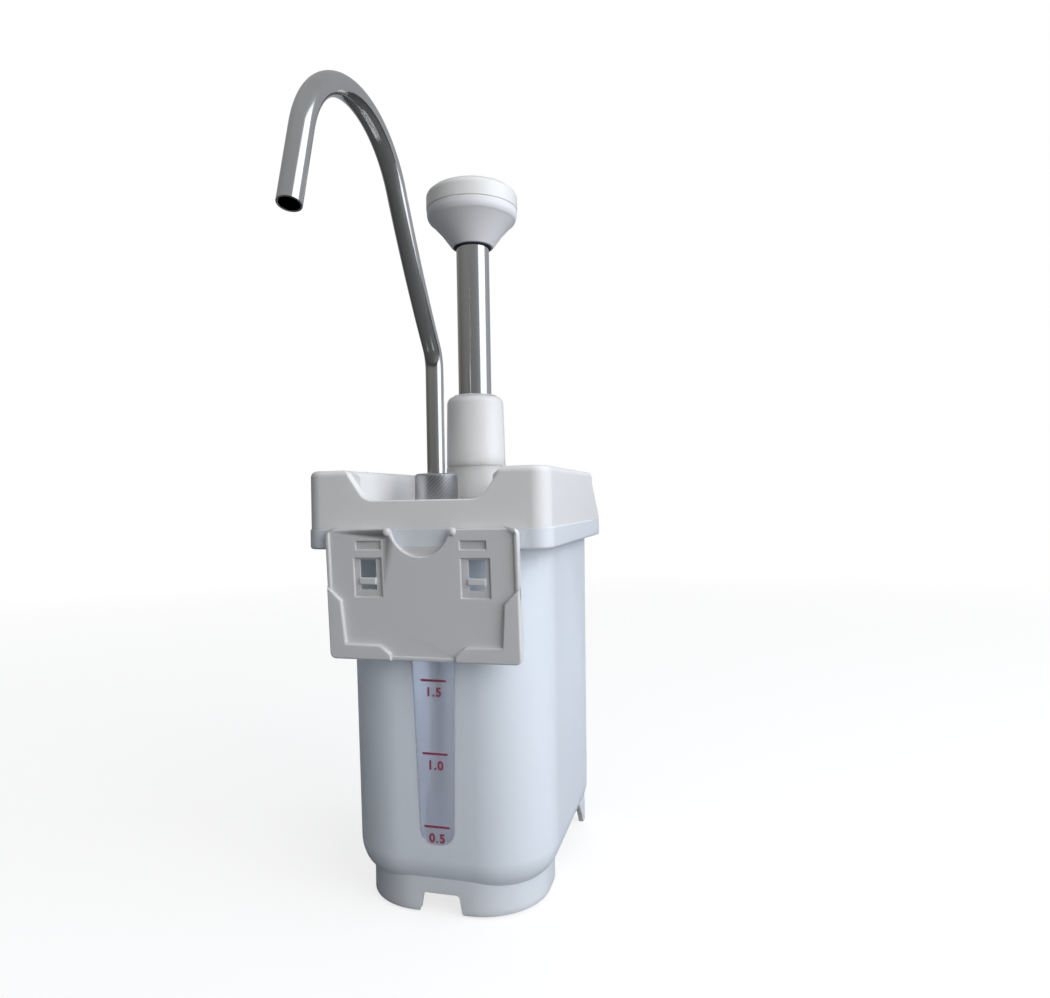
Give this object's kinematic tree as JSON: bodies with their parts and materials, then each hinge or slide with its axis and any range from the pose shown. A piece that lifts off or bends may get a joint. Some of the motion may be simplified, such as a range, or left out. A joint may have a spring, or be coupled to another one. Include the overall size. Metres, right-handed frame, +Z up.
{
  "type": "condiment pump dispenser",
  "caption": "Countertop sauce dispenser: tall translucent tank with sight window, lift-off lid, knob plunger pump and swivelling gooseneck spout.",
  "frame": {"origin": "on the resting plane, under the middle of the whole outline including the forward-reaching spout", "axes": "+Z up, -Y the front that the spout and label holder face, X = 0 the tank's plane of symmetry"},
  "size_m": [0.132, 0.2612, 0.4093],
  "materials": {
    "tank_plastic": "frosted translucent polypropylene, cool white",
    "window_plastic": "clearer polypropylene sight band",
    "mark_print": "dark red pad print",
    "white_plastic": "satin white moulded polypropylene",
    "sleeve_plastic": "semi-gloss white acetal",
    "knob_plastic": "satin off-white moulded knob",
    "pump_plastic": "natural white acetal, machined and moulded pump internals",
    "steel": "polished stainless steel",
    "knurled_steel": "straight-knurled stainless steel",
    "spring_steel": "drawn stainless spring wire",
    "seal_rubber": "black food-grade rubber",
    "ring_rubber": "dark blue-black rubber"
  },
  "bodies": {
    "container": {"tank": "tank_plastic", "sight_window": "window_plastic", "level_marks": "mark_print", "label_holder": "white_plastic"},
    "lid_assembly": {"lid": "white_plastic", "lid_seal": "seal_rubber", "deck_gasket": "seal_rubber", "cylinder": "pump_plastic", "cylinder_o_ring": "seal_rubber", "clamp_nut": "white_plastic", "collar_nut": "sleeve_plastic", "guide_sleeve": "sleeve_plastic", "guide_bush": "pump_plastic", "wiper_seal": "seal_rubber", "valve_body": "pump_plastic", "inlet_seat": "pump_plastic", "outlet_seat": "pump_plastic", "riser_tube": "steel", "riser_gasket": "seal_rubber", "riser_adapter": "steel", "riser_locknut": "steel", "spout_nut": "knurled_steel", "spout_o_ring": "seal_rubber", "return_spring": "spring_steel"},
    "plunger": {"knob_body": "knob_plastic", "knob_cap": "knob_plastic", "knob_ring": "ring_rubber", "plunger_tube": "steel", "plunger_plug": "steel", "piston": "pump_plastic", "piston_seals": "seal_rubber"},
    "spout": {"spout_tube": "steel", "spout_collar": "steel"},
    "inlet_check": {"inlet_ball": "steel"},
    "outlet_check": {"outlet_ball": "steel"}
  },
  "joints": [
    {"name": "lid_lift", "type": "slide", "parent": "container", "child": "lid_assembly", "axis": [0, 0, 1], "range_m": [0, 0.19]},
    {"name": "plunger_press", "type": "slide", "parent": "lid_assembly", "child": "plunger", "axis": [0, 0, -1], "range_m": [0, 0.075], "stiffness_N_per_m": 150, "springref_m": -0.03, "deforming": ["return_spring"]},
    {"name": "spout_swivel", "type": "hinge", "parent": "lid_assembly", "child": "spout", "pos_m": [-0.0104, 0.02056, 0.22], "axis": [0, 0, 1], "range_deg": [-90, 90]},
    {"name": "inlet_lift", "type": "slide", "parent": "lid_assembly", "child": "inlet_check", "axis": [0, 0, 1], "range_m": [0, 0.0033]},
    {"name": "outlet_lift", "type": "slide", "parent": "lid_assembly", "child": "outlet_check", "axis": [0, 0, 1], "range_m": [0, 0.0029]}
  ]
}
